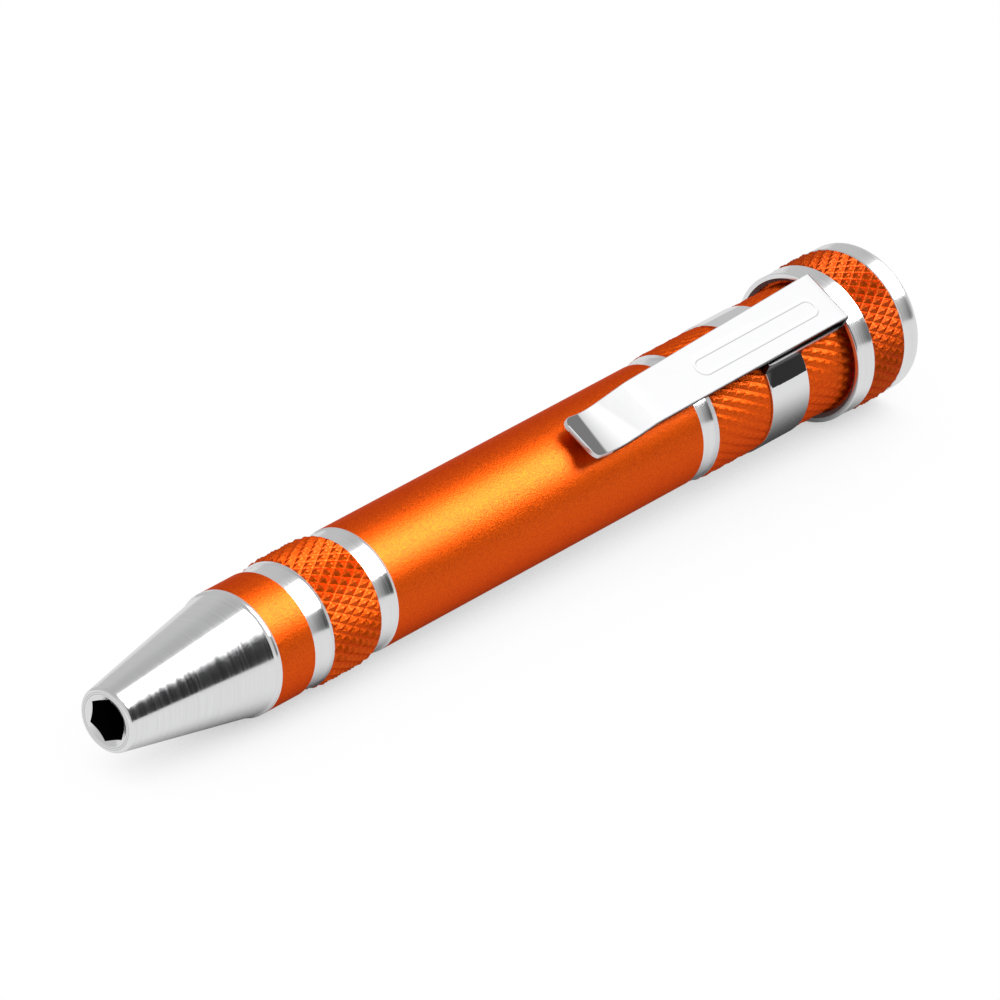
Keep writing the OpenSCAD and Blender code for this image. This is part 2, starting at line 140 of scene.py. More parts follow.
def knurl(shell, start, end, root, point, under, finish, cross=1.0, fine=5):
    """A band of diamonds, pressed in by two crossing wheels; its ends are faced off bright.
    One wheel may press only a share of the other's depth, and then its grooves stay faint."""
    columns = 2 * round(2 * math.pi * point / KNURL_PITCH) * fine
    half_length = KNURL_PITCH / math.tan(math.radians(KNURL_ANGLE)) / 2
    rows = round((end - start) / half_length) * fine
    rings = []
    for level in [-1] + list(range(rows + 1)) + [rows + 1]:
        j = min(max(level, 0), rows)
        faced_off = root + (point - root) * (KNURL_END_HEIGHT + KNURL_END_RISE * min(j, rows - j))
        ring = []
        for i in range(columns):
            height = knurl_height((i + j) / (2 * fine), (i - j) / (2 * fine), cross)
            radius = min(root + (point - root) * height, faced_off) if level == j else under
            ring.append(round_tool(
                start + (end - start) * j / rows, radius, 2 * math.pi * i / columns
            ))
        rings.append(add_ring(shell, ring))
    for level, (ring, after) in enumerate(zip(rings, rings[1:])):
        name = "bright" if level in (0, len(rings) - 2) else finish
        for i in range(columns):
            a, b = ring[i], ring[(i + 1) % columns]
            d, c = after[i], after[(i + 1) % columns]
            along = ((i // fine) + ((level - 1) // fine)) % 2 == 0
            shell["faces"].extend([(a, b, c), (a, c, d)] if along else [(a, b, d), (b, c, d)])
            shell["finish"].extend([name, name])


RUN_IN, RUN_OUT = 0.6, 0.4


def thread(shell, start, end, crest, depth, finish, facets=96, rows_a_turn=12):
    """A right-hand thread, as rings whose radius follows the helix; it runs in and out softly.
    The groove is at full depth over a sixth of the pitch, and its two flanks take a third. Inside
    a nut the depth is negative."""
    rows = round((end - start) / THREAD_PITCH * rows_a_turn)
    rings = []
    for j in range(rows + 1):
        station = start + (end - start) * j / rows
        cut = max(min(1, (station - start) / RUN_IN, (end - station) / RUN_OUT), 0)
        ring = []
        for i in range(facets):
            turn_share = (station / THREAD_PITCH - i / facets) % 1
            groove = min(1, max(0, 1.5 - 3 * abs(2 * turn_share - 1)))
            ring.append(round_tool(station, crest - depth * groove * cut, 2 * math.pi * i / facets))
        rings.append(add_ring(shell, ring))
    for ring, after in zip(rings, rings[1:]):
        join(shell, ring, after, [finish] * facets)


def made(name, shell, finishes, crease=28):
    """The finished mesh of a shell, with one material for each finish and crisp turned edges."""
    mesh = bpy.data.meshes.new(name)
    mesh.from_pydata(shell["points"], [], shell["faces"])
    for material in finishes.values():
        mesh.materials.append(material)
    order = list(finishes)
    for face, finish in zip(mesh.polygons, shell["finish"]):
        face.material_index = order.index(finish)
        face.use_smooth = True
    mesh.validate()
    mesh.set_sharp_from_angle(angle=math.radians(crease))
    piece = bpy.data.objects.new(name, mesh)
    bpy.context.scene.collection.objects.link(piece)
    return piece


def metal(name, colour, roughness):
    """A bare metal of this colour and roughness, which its grain then varies."""
    material = bpy.data.materials.new(name)
    material.use_nodes = True
    shader = material.node_tree.nodes["Principled BSDF"]
    shader.inputs["Base Color"].default_value = (*colour, 1)
    shader.inputs["Metallic"].default_value = 1
    shader.inputs["Roughness"].default_value = roughness
    return material, shader


def feed(tree, value, socket):
    """Links a value of a node tree to a socket, or sets it there where it is a plain number."""
    if isinstance(value, (int, float)):
        socket.default_value = value
    else:
        tree.links.new(value, socket)


def grain(material, size, detail=2.0, offset=0.0):
    """Noise whose grains have this size in mm along the tool, across it and up."""
    tree = material.node_tree
    place, mapping = tree.nodes.new("ShaderNodeTexCoord"), tree.nodes.new("ShaderNodeMapping")
    mapping.inputs["Scale"].default_value = [1000 / s for s in size]
    mapping.inputs["Location"].default_value = (offset, offset, offset)
    noise = tree.nodes.new("ShaderNodeTexNoise")
    noise.inputs["Scale"].default_value = 1
    noise.inputs["Detail"].default_value = detail
    feed(tree, place.outputs["Object"], mapping.inputs["Vector"])
    feed(tree, mapping.outputs["Vector"], noise.inputs["Vector"])
    return noise.outputs[0]


NOISE_LOW, NOISE_HIGH = 0.3, 0.7


def spread(material, value, low, high):
    """Spreads a grain over a range, such as of roughness. Nearly all of a noise lies between
    its low and its high."""
    node = material.node_tree.nodes.new("ShaderNodeMapRange")
    for name, end in zip(("From Min", "From Max", "To Min", "To Max"),
                         (NOISE_LOW, NOISE_HIGH, low, high)):
        node.inputs[name].default_value = end
    feed(material.node_tree, value, node.inputs["Value"])
    return node.outputs["Result"]


def tint(material, value, dark, light):
    """A colour that wanders between two shades with a grain."""
    node = material.node_tree.nodes.new("ShaderNodeMix")
    node.data_type = "RGBA"
    node.inputs["A"].default_value = (*dark, 1)
    node.inputs["B"].default_value = (*light, 1)
    feed(material.node_tree, spread(material, value, 0, 1), node.inputs["Factor"])
    return node.outputs["Result"]


def relief(material, shader, value, height, before=None):
    """Turns a grain into fine relief of this height in mm, on top of the relief before it."""
    node = material.node_tree.nodes.new("ShaderNodeBump")
    node.inputs["Strength"].default_value = 1
    node.inputs["Distance"].default_value = height / 1000
    feed(material.node_tree, value, node.inputs["Height"])
    if before is not None:
        feed(material.node_tree, before.outputs["Normal"], node.inputs["Normal"])
    feed(material.node_tree, node.outputs["Normal"], shader.inputs["Normal"])
    return node


DYE, DEEP_DYE, PALE_DYE = (0.82, 0.09, 0.001), (0.71, 0.075, 0.0003), (0.93, 0.130, 0.001)
# The front knurl's shade factor darkens its dye: painted shade for the knurl.
DYE_SHEEN, OXIDE_SHARE, FRONT_KNURL_PAINTED_SHADE = (0.7, 0.35, 0.3, 1), 0.009, 0.9
BLAST_GRAIN, BLAST_DEPTH, BLAST_CLOUD = (0.17, 0.17, 0.17), 0.032, (0.35, 0.35, 0.35)


def blasted_orange(name, shade=1.0):
    """Dyed anodising over a blasted skin: a satin orange metal with a faint white sheen. A shade
    below 1 darkens the dye as painted shade, for a knurl.
    """
    material, shader = metal(name, DYE, 0.44)
    tree = material.node_tree
    fine = grain(material, BLAST_GRAIN, detail=3)
    deep, pale = ([shade * c for c in colour] for colour in (DEEP_DYE, PALE_DYE))
    feed(tree, tint(material, fine, deep, pale), shader.inputs["Base Color"])
    cloud = grain(material, BLAST_CLOUD, detail=2, offset=7)
    feed(tree, spread(material, cloud, 0.4, 0.48), shader.inputs["Roughness"])
    shader.inputs["Specular Tint"].default_value = DYE_SHEEN
    bumps = relief(material, shader, fine, BLAST_DEPTH)
    oxide, both = tree.nodes.new("ShaderNodeBsdfAnisotropic"), tree.nodes.new("ShaderNodeMixShader")
    oxide.inputs["Color"].default_value = (1, 1, 1, 1)
    feed(tree, spread(material, fine, 0.27, 0.33), oxide.inputs["Roughness"])
    feed(tree, bumps.outputs["Normal"], oxide.inputs["Normal"])
    both.inputs["Fac"].default_value = OXIDE_SHARE
    feed(tree, shader.outputs[0], both.inputs[1])
    feed(tree, oxide.outputs[0], both.inputs[2])
    feed(tree, both.outputs[0], tree.nodes["Material Output"].inputs["Surface"])
    return material


CUT_COLOUR, DULL_CUT, CLEAR_CUT = (0.91, 0.91, 0.92), (0.87, 0.87, 0.88), (0.94, 0.94, 0.95)
CUT_LINES, LINE_DEPTH, CHATTER, CHATTER_DEPTH = (0.1, 6, 6), 0.004, (0.17, 9, 9), 0.003


def bright_cut():
    """Bare aluminium, cut on the lathe: fine lines run round the tool."""
    material, shader = metal("bright_cut", CUT_COLOUR, 0.2)
    tree = material.node_tree
    lines = grain(material, CUT_LINES, detail=2)
    feed(tree, spread(material, lines, 0.12, 0.24), shader.inputs["Roughness"])
    feed(tree, tint(material, lines, DULL_CUT, CLEAR_CUT), shader.inputs["Base Color"])
    fine_lines = relief(material, shader, lines, LINE_DEPTH)
    chatter = grain(material, CHATTER, detail=1, offset=5)
    relief(material, shader, chatter, CHATTER_DEPTH, fine_lines)
    shader.inputs["Anisotropic"].default_value = 0.6
    shader.inputs["Anisotropic Rotation"].default_value = 0.25
    tangent = tree.nodes.new("ShaderNodeTangent")
    tangent.direction_type = "RADIAL"
    tangent.axis = "X"
    feed(tree, tangent.outputs["Tangent"], shader.inputs["Tangent"])
    return material


ORANGE = blasted_orange("blasted_orange")
# The front knurl's orange is a darker copy of the barrel's: painted shade.
FRONT_KNURL_SHADED_ORANGE = blasted_orange("knurled_orange_painted_shade", FRONT_KNURL_PAINTED_SHADE)
BRIGHT = bright_cut()

barrel = empty_shell()
turn(barrel, [
    (SPIGOT_BORE_END, 0, "orange"),
    (SPIGOT_BORE_END, SPIGOT_BORE, "orange"),
    (FRONT_BAND, SPIGOT_BORE, "bright"),
    (FRONT_BAND, RING_RADIUS, "bright"),
    (FRONT_BAND + BRIGHT_EDGE, BARREL_RADIUS, "orange"),
    (FRONT_RING - BRIGHT_EDGE, BARREL_RADIUS, "bright"),
    *hollow_ring(FRONT_RING, FRONT_KNURL, RING_RADIUS, RING_HOLLOW, "bright"),
    (FRONT_KNURL, UNDER_KNURL, "orange"),
    (MIDDLE_RING, UNDER_KNURL, "bright"),
    *hollow_ring(MIDDLE_RING, GRIP, RING_RADIUS, RING_HOLLOW, "bright"),
    (GRIP + BRIGHT_EDGE, BARREL_RADIUS, "orange"),
    (REAR_RING - BRIGHT_EDGE, BARREL_RADIUS, "bright"),
    *hollow_ring(REAR_RING, MIDDLE_KNURL, RING_RADIUS, RING_HOLLOW, "bright"),
    (MIDDLE_KNURL, UNDER_KNURL, "orange"),
    (CLIP_GROOVE, UNDER_KNURL, "bright"),
    (CLIP_GROOVE, RING_RADIUS, "bright"),
    (REAR_KNURL, RING_RADIUS, "bright"),
    (REAR_KNURL, UNDER_KNURL, "orange"),
    (NECK, UNDER_KNURL, "orange"),
    (NECK, NECK_RADIUS, "orange"),
])
thread(barrel, NECK, NECK_END - NECK_CHAMFER, NECK_RADIUS, THREAD_DEPTH, "orange")
turn(barrel, [
    (NECK_END - NECK_CHAMFER, NECK_RADIUS, "orange"),
    (NECK_END, NECK_RADIUS - NECK_CHAMFER, "bright"),
    (NECK_END, MAGAZINE_BORE, "orange"),
    (MAGAZINE_START, MAGAZINE_BORE, "orange"),
    (MAGAZINE_START, 0, "orange"),
])
knurl(barrel, FRONT_KNURL, MIDDLE_RING, KNURL_ROOT, KNURL_POINT, UNDER_KNURL, "knurled")
for start, end, cross in (
    (MIDDLE_KNURL, CLIP_GROOVE, MIDDLE_CROSS),
    (REAR_KNURL, NECK, REAR_CROSS),
):
    knurl(barrel, start, end, LIGHT_KNURL_ROOT, KNURL_POINT, UNDER_KNURL, "orange", cross)

barrel = made("barrel_turned", barrel, {
    "orange": ORANGE, "knurled": FRONT_KNURL_SHADED_ORANGE, "bright": BRIGHT,
})
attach(barrel, "handle")
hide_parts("barrel")


# Nose cone: turned from bare aluminium and screwed into the barrel by a spigot behind it.
# A broach cuts its hex socket after the mouth is countersunk, so the mouth's edge is scalloped.
NOSE_LENGTH, NOSE_LAND, NOSE_STEP, NOSE_TIP, NOSE_EDGE = 17.5, 0.5, 0.2, 3.376, 0.4
SOCKET_HALF_FLAT, SOCKET_DEPTH, SOCKET_TURN, MOUTH, MOUTH_SLOPE = 2.04, 10.0, 7.0, 2.62, 0.55
SPIGOT, SPIGOT_LENGTH, SPIGOT_CHAMFER, BACK_CHAMFER = 4.5, 8.0, 0.5, 0.05
FACETS_A_FLAT = 30


def hex_socket(shell):
    """The hex hole, drawn from its floor out to the countersink and the face round it."""
    facets = 6 * FACETS_A_FLAT
    angles = [math.radians(SOCKET_TURN) + 2 * math.pi * i / facets for i in range(facets)]
    hexagon = [
        SOCKET_HALF_FLAT / math.cos(math.radians(60 * (i % FACETS_A_FLAT) / FACETS_A_FLAT - 30))
        for i in range(facets)
    ]
    rings = [
        [round_tool(SOCKET_DEPTH, 0, angles[0])],
        [round_tool(SOCKET_DEPTH, across, a) for across, a in zip(hexagon, angles)],
        [round_tool(max(MOUTH_SLOPE * (MOUTH - across), 0), across, a)
         for across, a in zip(hexagon, angles)],
        [round_tool(0, MOUTH, a) for a in angles],
    ]
    rings = [add_ring(shell, ring) for ring in rings]
    for ring, after, finish in zip(rings, rings[1:], ("socket", "socket", "bright")):
        join(shell, ring, after, [finish] * facets)


def nose_outline(edge_steps=8, cone_steps=12):
    """From the countersink over the face, its round edge, the cone and the land to the spigot."""
    outline = [(0, MOUTH, "face"), (0, NOSE_TIP - NOSE_EDGE, "bright")]
    for k in range(1, edge_steps + 1):
        a = math.radians(90 * k / edge_steps)
        outline.append((
            NOSE_EDGE * (1 - math.cos(a)), NOSE_TIP - NOSE_EDGE + NOSE_EDGE * math.sin(a), "bright",
        ))
    start, end = outline[-1][:2], (NOSE_LENGTH - NOSE_LAND, BARREL_RADIUS - NOSE_STEP)
    for k in range(1, cone_steps):
        outline.append((
            start[0] + (end[0] - start[0]) * k / cone_steps,
            start[1] + (end[1] - start[1]) * k / cone_steps,
            "bright",
        ))
    return outline + [
        (*end, "bright"),
        (NOSE_LENGTH - NOSE_LAND + NOSE_STEP, BARREL_RADIUS, "bright"),
        (NOSE_LENGTH - BACK_CHAMFER, BARREL_RADIUS, "bright"),
        (NOSE_LENGTH, BARREL_RADIUS - BACK_CHAMFER, "bright"),
        (NOSE_LENGTH, SPIGOT, "bright"),
        (NOSE_LENGTH + SPIGOT_LENGTH - SPIGOT_CHAMFER, SPIGOT, "bright"),
        (NOSE_LENGTH + SPIGOT_LENGTH, SPIGOT - SPIGOT_CHAMFER, "bright"),
        (NOSE_LENGTH + SPIGOT_LENGTH, 0, "bright"),
    ]


def maths(tree, operation, *inputs):
    """A math node of a node tree, with its inputs; gives its result."""
    node = tree.nodes.new("ShaderNodeMath")
    node.operation = operation
    for value, socket in zip(inputs, node.inputs):
        feed(tree, value, socket)
    return node.outputs[0]


FACING_SCALE, FACING_WOBBLE, FACING_DEPTH = 1600, 1.2, 0.004
FACED_COLOUR, FACED_DARK, FACED_PALE = (0.9, 0.9, 0.91), (0.62, 0.62, 0.63), (0.93, 0.93, 0.93)


def faced_metal():
    """A face that is cut square across the tool, with the rings that the facing cut leaves."""
    material, shader = metal("faced_tip", FACED_COLOUR, 0.26)
    tree = material.node_tree
    place, split = tree.nodes.new("ShaderNodeTexCoord"), tree.nodes.new("ShaderNodeSeparateXYZ")
    feed(tree, place.outputs["Object"], split.inputs[0])
    flat = tree.nodes.new("ShaderNodeCombineXYZ")
    feed(tree, split.outputs["Y"], flat.inputs["X"])
    feed(tree, maths(tree, "SUBTRACT", split.outputs["Z"], AXIS_HEIGHT / 1000), flat.inputs["Y"])
    rings = tree.nodes.new("ShaderNodeTexWave")
    rings.wave_type = "RINGS"
    rings.rings_direction = "SPHERICAL"
    rings.inputs["Scale"].default_value = FACING_SCALE
    rings.inputs["Distortion"].default_value = FACING_WOBBLE
    rings.inputs["Detail"].default_value = 2
    feed(tree, flat.outputs[0], rings.inputs["Vector"])
    relief(material, shader, rings.outputs["Fac"], FACING_DEPTH)
    streaks = tint(material, rings.outputs["Fac"], FACED_DARK, FACED_PALE)
    feed(tree, streaks, shader.inputs["Base Color"])
    speckle = grain(material, (0.2, 0.2, 0.2), detail=3)
    feed(tree, spread(material, speckle, 0.2, 0.34), shader.inputs["Roughness"])
    return material


def socket_metal():
    """The broached walls of the socket, near black."""
    material, shader = metal("broached_wall", (0.05, 0.05, 0.05), 0.4)
    relief(material, shader, grain(material, (3, 0.12, 0.12), detail=2), 0.01)
    return material


FACE = faced_metal()
nose = empty_shell()
hex_socket(nose)
turn(nose, nose_outline(), facets=6 * FACETS_A_FLAT, first_angle=SOCKET_TURN)
nose = made("nose_cone_turned", nose, {"bright": BRIGHT, "face": FACE, "socket": socket_metal()})
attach(nose, "handle")
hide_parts("nose_cone")


# Magnet: a nickel-plated disc, pressed in behind the hex socket.
# It holds a bit by its back end, and it is seen only down the socket.
MAGNET_RADIUS, MAGNET_THICKNESS, MAGNET_EDGE, MAGNET_ROUND = 2.0, 2.0, 0.2, 0.06


def nickel():
    """Nickel plate with a fine speckle."""
    material, shader = metal("nickel_plate", (0.62, 0.60, 0.57), 0.22)
    speckle = grain(material, (0.25, 0.25, 0.25), detail=3)
    feed(material.node_tree, spread(material, speckle, 0.16, 0.34), shader.inputs["Roughness"])
    relief(material, shader, speckle, 0.004)
    return material


magnet_end = [(0, MAGNET_RADIUS), (0, MAGNET_EDGE), (MAGNET_ROUND, MAGNET_ROUND), (MAGNET_EDGE, 0)]
outline = [(SOCKET_DEPTH + d, MAGNET_RADIUS - inwards, "nickel") for d, inwards in magnet_end]
outline += [
    (SOCKET_DEPTH + MAGNET_THICKNESS - d, MAGNET_RADIUS - inwards, "nickel")
    for d, inwards in reversed(magnet_end)
]
magnet = empty_shell()
turn(magnet, outline, facets=96)
magnet = made("magnet_disc", magnet, {"nickel": nickel()})
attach(magnet, "handle")
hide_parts("socket_magnet")


# Bits: eight hardened steel bits with 4 mm hex shanks, in two layers of four inside the barrel.
# They are turned and milled from hex wire, and left with a satin grey finish. The CAD shapes stay.
DRAWN_LINES, PATCH_SIZE = (2.5, 0.1, 0.1), (1.2, 0.6, 0.6)
DARK_STEEL, PALE_STEEL = (0.36, 0.36, 0.37), (0.45, 0.44, 0.43)


def bit_steel():
    """Satin tool steel, with lines drawn along the bit and patches from the hardening."""
    material, shader = metal("satin_bit_steel", (0.40, 0.40, 0.41), 0.36)
    drawn = grain(material, DRAWN_LINES, detail=3)
    feed(material.node_tree, spread(material, drawn, 0.28, 0.46), shader.inputs["Roughness"])
    patches = grain(material, PATCH_SIZE, detail=2, offset=3)
    patches = tint(material, patches, DARK_STEEL, PALE_STEEL)
    feed(material.node_tree, patches, shader.inputs["Base Color"])
    relief(material, shader, drawn, 0.004)
    return material


BIT_STEEL = bit_steel()
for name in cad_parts:
    if name.startswith("bit_"):
        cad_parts[name].data.materials.clear()
        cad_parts[name].data.materials.append(BIT_STEEL)


# Clip collar: the rear of the clip, which is one strip of spring steel, stamped, bent and chrome
# plated. The collar snaps into the groove of the barrel, and a tongue runs back from it to the
# fold at the clip's end.
CLIP_TURN, SHEET, SHEET_EDGE, GROOVE_CLEARANCE = 29.5, 0.5, 0.07, 0.03
COLLAR_GAP, COLLAR_INNER, COLLAR_FILLET, SHOULDER = 4.5, 6.38, 0.35, 0.55
COLLAR_STEPS, COLLAR_MARGIN, STRIP_REAR_HALF, FOLD_STATION = 80, 0.12, 3.05, 100.35
FLARE_LENGTH, FLARE_SLOPE, FLARE_FADES, FLARE_GONE = 1.5, 0.15, 20, 46
TONGUE_HEIGHT, TONGUE_DIP, TONGUE_REACH = 6.95, 0.01, 0.7
TONGUE_END = ((0, 0.09), (0.02, 0.05), (0.06, 0.02), (0.12, 0))


def on_clip(station, up, side):
    """A point of the clip, which leans from straight up towards the camera's side."""
    a = math.radians(CLIP_TURN)
    return on_tool(
        station, up * math.cos(a) - side * math.sin(a), up * math.sin(a) + side * math.cos(a)
    )


def skin(shell, loops, finishes, later_from=None, later=None):
    """Joins closed loops of points into a skin, with a finish for each strip along it, and closes
    its ends. From a given loop on, the finishes may be others."""
    rings = [add_ring(shell, loop) for loop in loops]
    shell["faces"].append(tuple(reversed(rings[0])))
    shell["finish"].append(finishes[0])
    for k, (ring, after) in enumerate(zip(rings, rings[1:])):
        if k == later_from:
            finishes = later
        join(shell, ring, after, finishes)
    shell["faces"].append(tuple(rings[-1]))
    shell["finish"].append(finishes[0])


def rounded_section(low, high, thickness, edge, across=(), edge_steps=4, under_steps=8):
    """Section of the sheet: (across, depth) points round it, its four edges rounded."""
    turns = [math.radians(90 * k / edge_steps) for k in range(edge_steps + 1)]
    corner = [(edge * (1 - math.cos(a)), edge * (1 - math.sin(a))) for a in turns]
    top = [(low + x, -y) for x, y in corner] + [(x, 0.0) for x in across]
    top += [(high - x, -y) for x, y in reversed(corner)]
    under = [(high - x, -thickness + y) for x, y in corner]
    under += [(high + (low - high) * k / under_steps, -thickness) for k in range(1, under_steps)]
    under += [(low + x, -thickness + y) for x, y in reversed(corner)]
    return top + under


def finishes_round(section, dark_above=None, dark_below=-0.04):
    """Chrome round a sheet's section, but painted shade above and below these depths in it."""
    names = []
    for (_, one), (_, other) in zip(section, section[1:] + section[:1]):
        depth = (one + other) / 2
        dark = depth < dark_below or (dark_above is not None and depth > dark_above)
        names.append("inside" if dark else "chrome")
    return names


def other_way(names):
    """The finishes round a section whose points run the other way."""
    return names[::-1][1:] + names[-1:]


def swapped(names, old, new):
    """The same finishes, with one of them swapped for another."""
    return [new if name == old else name for name in names]


def painted_shade_chrome():
    """Chrome painted near black as shade on the sheet's shaded faces: under the strip, on top of
    the tongue, inside the collar and over its fillet and shoulder.
    """
    material, shader = metal("chrome_painted_shade", (0.04, 0.04, 0.042), 0.3)
    relief(material, shader, grain(material, (0.8, 0.1, 0.1), detail=3), 0.002)
    return material


def chrome():
    """Chrome plate on stamped sheet: a mirror with faint waves and hairlines."""
    material, shader = metal("chrome_plate", (0.93, 0.93, 0.94), 0)
    waves = grain(material, (2.2, 1.6, 1.6), detail=1, offset=4)
    waves = relief(material, shader, waves, 0.004)
    hairlines = grain(material, (1.2, 0.06, 0.06), detail=2, offset=9)
    relief(material, shader, hairlines, 0.0006, waves)
    return material


def sheared_edge():
    """The sheared edges of the tongue and of the strip's tip: plated, but left coarse."""
    material, shader = metal("sheared_edge", (0.8, 0.8, 0.81), 0.35)
    relief(material, shader, grain(material, (0.15, 0.5, 0.5), detail=2), 0.004)
    return material


# The inside finish is chrome painted near black: painted shade.
CLIP_FINISHES = {"chrome": chrome(), "inside": painted_shade_chrome(), "sheared": sheared_edge()}
CLIP_CREASE = 40


def smooth_step(value, low, high):
    """0 below low and 1 above high, with a soft step between."""
    t = min(max((value - low) / (high - low), 0), 1)
    return t * t * (3 - 2 * t)


def flare(station, angle):
    """How far the front edge of the collar springs out beside the strip."""
    length = FLARE_LENGTH * (1 - smooth_step(angle, FLARE_FADES, FLARE_GONE))
    left = max(CLIP_GROOVE + GROOVE_CLEARANCE + length - station, 0)
    return FLARE_SLOPE * left * left / 2 / max(length, 0.01)


def collar_path(fillet_steps=10, shoulder_steps=8):
    """The collar's outside as (up, side, facing): from its gap round to the fillet under the
    strip, over the shoulder, and a little way into the tongue."""
    outer = COLLAR_INNER + SHEET
    fillet_side = STRIP_REAR_HALF + COLLAR_FILLET
    fillet_up = math.sqrt((outer + COLLAR_FILLET) ** 2 - fillet_side ** 2)
    foot, gap = math.atan2(fillet_side, fillet_up), math.pi - math.asin(COLLAR_GAP / 2 / outer)
    path = []
    for k in range(COLLAR_STEPS + 1):
        a = gap + (foot - gap) * k / COLLAR_STEPS
        path.append((outer * math.cos(a), outer * math.sin(a), a))
    for k in range(1, fillet_steps + 1):
        a = foot + (math.pi / 2 - foot) * k / fillet_steps
        path.append((
            fillet_up - COLLAR_FILLET * math.cos(a), fillet_side - COLLAR_FILLET * math.sin(a), a,
        ))
    for k in range(shoulder_steps + 1):
        a = math.radians(90 - 90 * k / shoulder_steps)
        path.append((
            TONGUE_HEIGHT + SHEET - SHOULDER * (1 - math.cos(a)),
            STRIP_REAR_HALF - SHOULDER * (1 - math.sin(a)),
            a,
        ))
    path.append((path[-1][0] - TONGUE_DIP, path[-1][1] - TONGUE_REACH, 0.0))
    return path


collar_width, collar_columns = REAR_KNURL - CLIP_GROOVE - 2 * COLLAR_MARGIN, 24
collar_section = rounded_section(
    CLIP_GROOVE + GROOVE_CLEARANCE, REAR_KNURL - GROOVE_CLEARANCE, SHEET, SHEET_EDGE,
    [CLIP_GROOVE + COLLAR_MARGIN + collar_width * k / collar_columns
     for k in range(collar_columns + 1)],
)
collar = empty_shell()
for mirror in (1, -1):
    loops = []
    for up, side, a in collar_path():
        place = math.degrees(math.atan2(side, up))
        loop = []
        for station, depth in collar_section:
            out = depth + flare(station, place)
            sideways = mirror * (side + out * math.sin(a))
            loop.append(on_clip(station, up + out * math.cos(a), sideways))
        loops.append(loop if mirror == 1 else loop[::-1])
    # The collar's inner face, and its whole section from the fillet on, take the inside finish:
    # painted shade.
    names = finishes_round(collar_section, dark_below=-0.3)
    skin(collar, loops, names if mirror == 1 else other_way(names),
         COLLAR_STEPS + 1, ["inside"] * len(collar_section))

tongue_section = rounded_section(-STRIP_REAR_HALF, STRIP_REAR_HALF, SHEET, SHEET_EDGE)
tongue_rows = [(CLIP_GROOVE + GROOVE_CLEARANCE + along, shy) for along, shy in TONGUE_END]
tongue_rows += [(station, 0) for station in (92, 95, 98, FOLD_STATION)]
loops = []
for station, shy in tongue_rows:
    loop = []
    for side, depth in tongue_section:
        up = TONGUE_HEIGHT + SHEET + (depth + SHEET / 2) * (1 - 2 * shy / SHEET) - SHEET / 2
        loop.append(on_clip(station, up, side * (1 - shy / STRIP_REAR_HALF)))
    loops.append(loop[::-1])
# The tongue's top, in the gap under the strip, takes the inside finish: painted shade.
names = finishes_round(tongue_section, dark_above=-0.04, dark_below=-1)
skin(collar, loops, other_way(swapped(names, "chrome", "sheared")))

collar = made("clip_collar_bent", collar, CLIP_FINISHES, CLIP_CREASE)
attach(collar, "handle")
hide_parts("clip_collar")


# Clip strip: the rest of the same steel. It comes forwards over the fold, is stamped with a long
# panel, and bears on the barrel near its tip, which turns up so that it slides onto a pocket.
FOLD_HEIGHT, FOLD_RADIUS, FOLD_CORNER, FOLD_STEPS = 7.95, 1.0, 0.55, 24
STRIP_TOP, STRIP_TIP_HALF, TIP_OFFSET, TIP_CORNER = 8.95, 2.6, 0.6, 1.3
TIP_STATION, BEND_FROM_TIP, VALLEY_FROM_TIP = 62.95, 9.4, 3.9
BEND_HEIGHT, VALLEY_HEIGHT, TIP_HEIGHT = 8.35, 7.05, 8.15
REAR_BEND_SHARE, FAR_BEND_SHARE, NEAR_BEND_SHARE = 0.06, 0.35, 0.62
TIP_END, LIGHT_EDGE_LENGTH = (0.03, 0.1), 3.5
PANEL_LENGTH, PANEL_HALF, PANEL_INSET, PANEL_OFFSET = 17.85, 1.0, 2.75, 0.25
CHANNEL_DEPTH, CHANNEL_INNER, CHANNEL_OUTER = 0.022, (-0.24, -0.14), (0.08, 0.18)


def bent(a, b, c, share, steps=14):
    """A bend at b between a and c that takes this share of both legs."""
    p = [b[i] + (a[i] - b[i]) * share for i in (0, 1)]
    q = [b[i] + (c[i] - b[i]) * share for i in (0, 1)]
    return [
        tuple((1 - t) ** 2 * p[i] + 2 * t * (1 - t) * b[i] + t * t * q[i] for i in (0, 1))
        for t in (k / steps for k in range(steps + 1))
    ]


strip_rear = (FOLD_STATION, STRIP_TOP)
strip_bend = (TIP_STATION + BEND_FROM_TIP, BEND_HEIGHT)
strip_valley = (TIP_STATION + VALLEY_FROM_TIP, VALLEY_HEIGHT)
strip_tip = (TIP_STATION, TIP_HEIGHT)
panel_start = PANEL_INSET - FOLD_RADIUS
panel_end = panel_start + PANEL_LENGTH


def channel_depth(along, side):
    """Depth of the shallow channel that is stamped round the panel, and shows as two fine lines."""
    middle = min(max(along, panel_start + PANEL_HALF), panel_end - PANEL_HALF)
    outside = math.hypot(along - middle, side - PANEL_OFFSET) - PANEL_HALF
    sunk = smooth_step(outside, *CHANNEL_INNER) - smooth_step(outside, *CHANNEL_OUTER)
    return CHANNEL_DEPTH * sunk


BEFORE_PANEL, FINE_STRETCH, FINE_STEP, FINE_ROWS = 0.25, 1.1, 0.04, 34
MIDDLE_ROWS, FRONT_ROWS, FRONT_START, FRONT_END = 28, 8, 0.4, 0.1


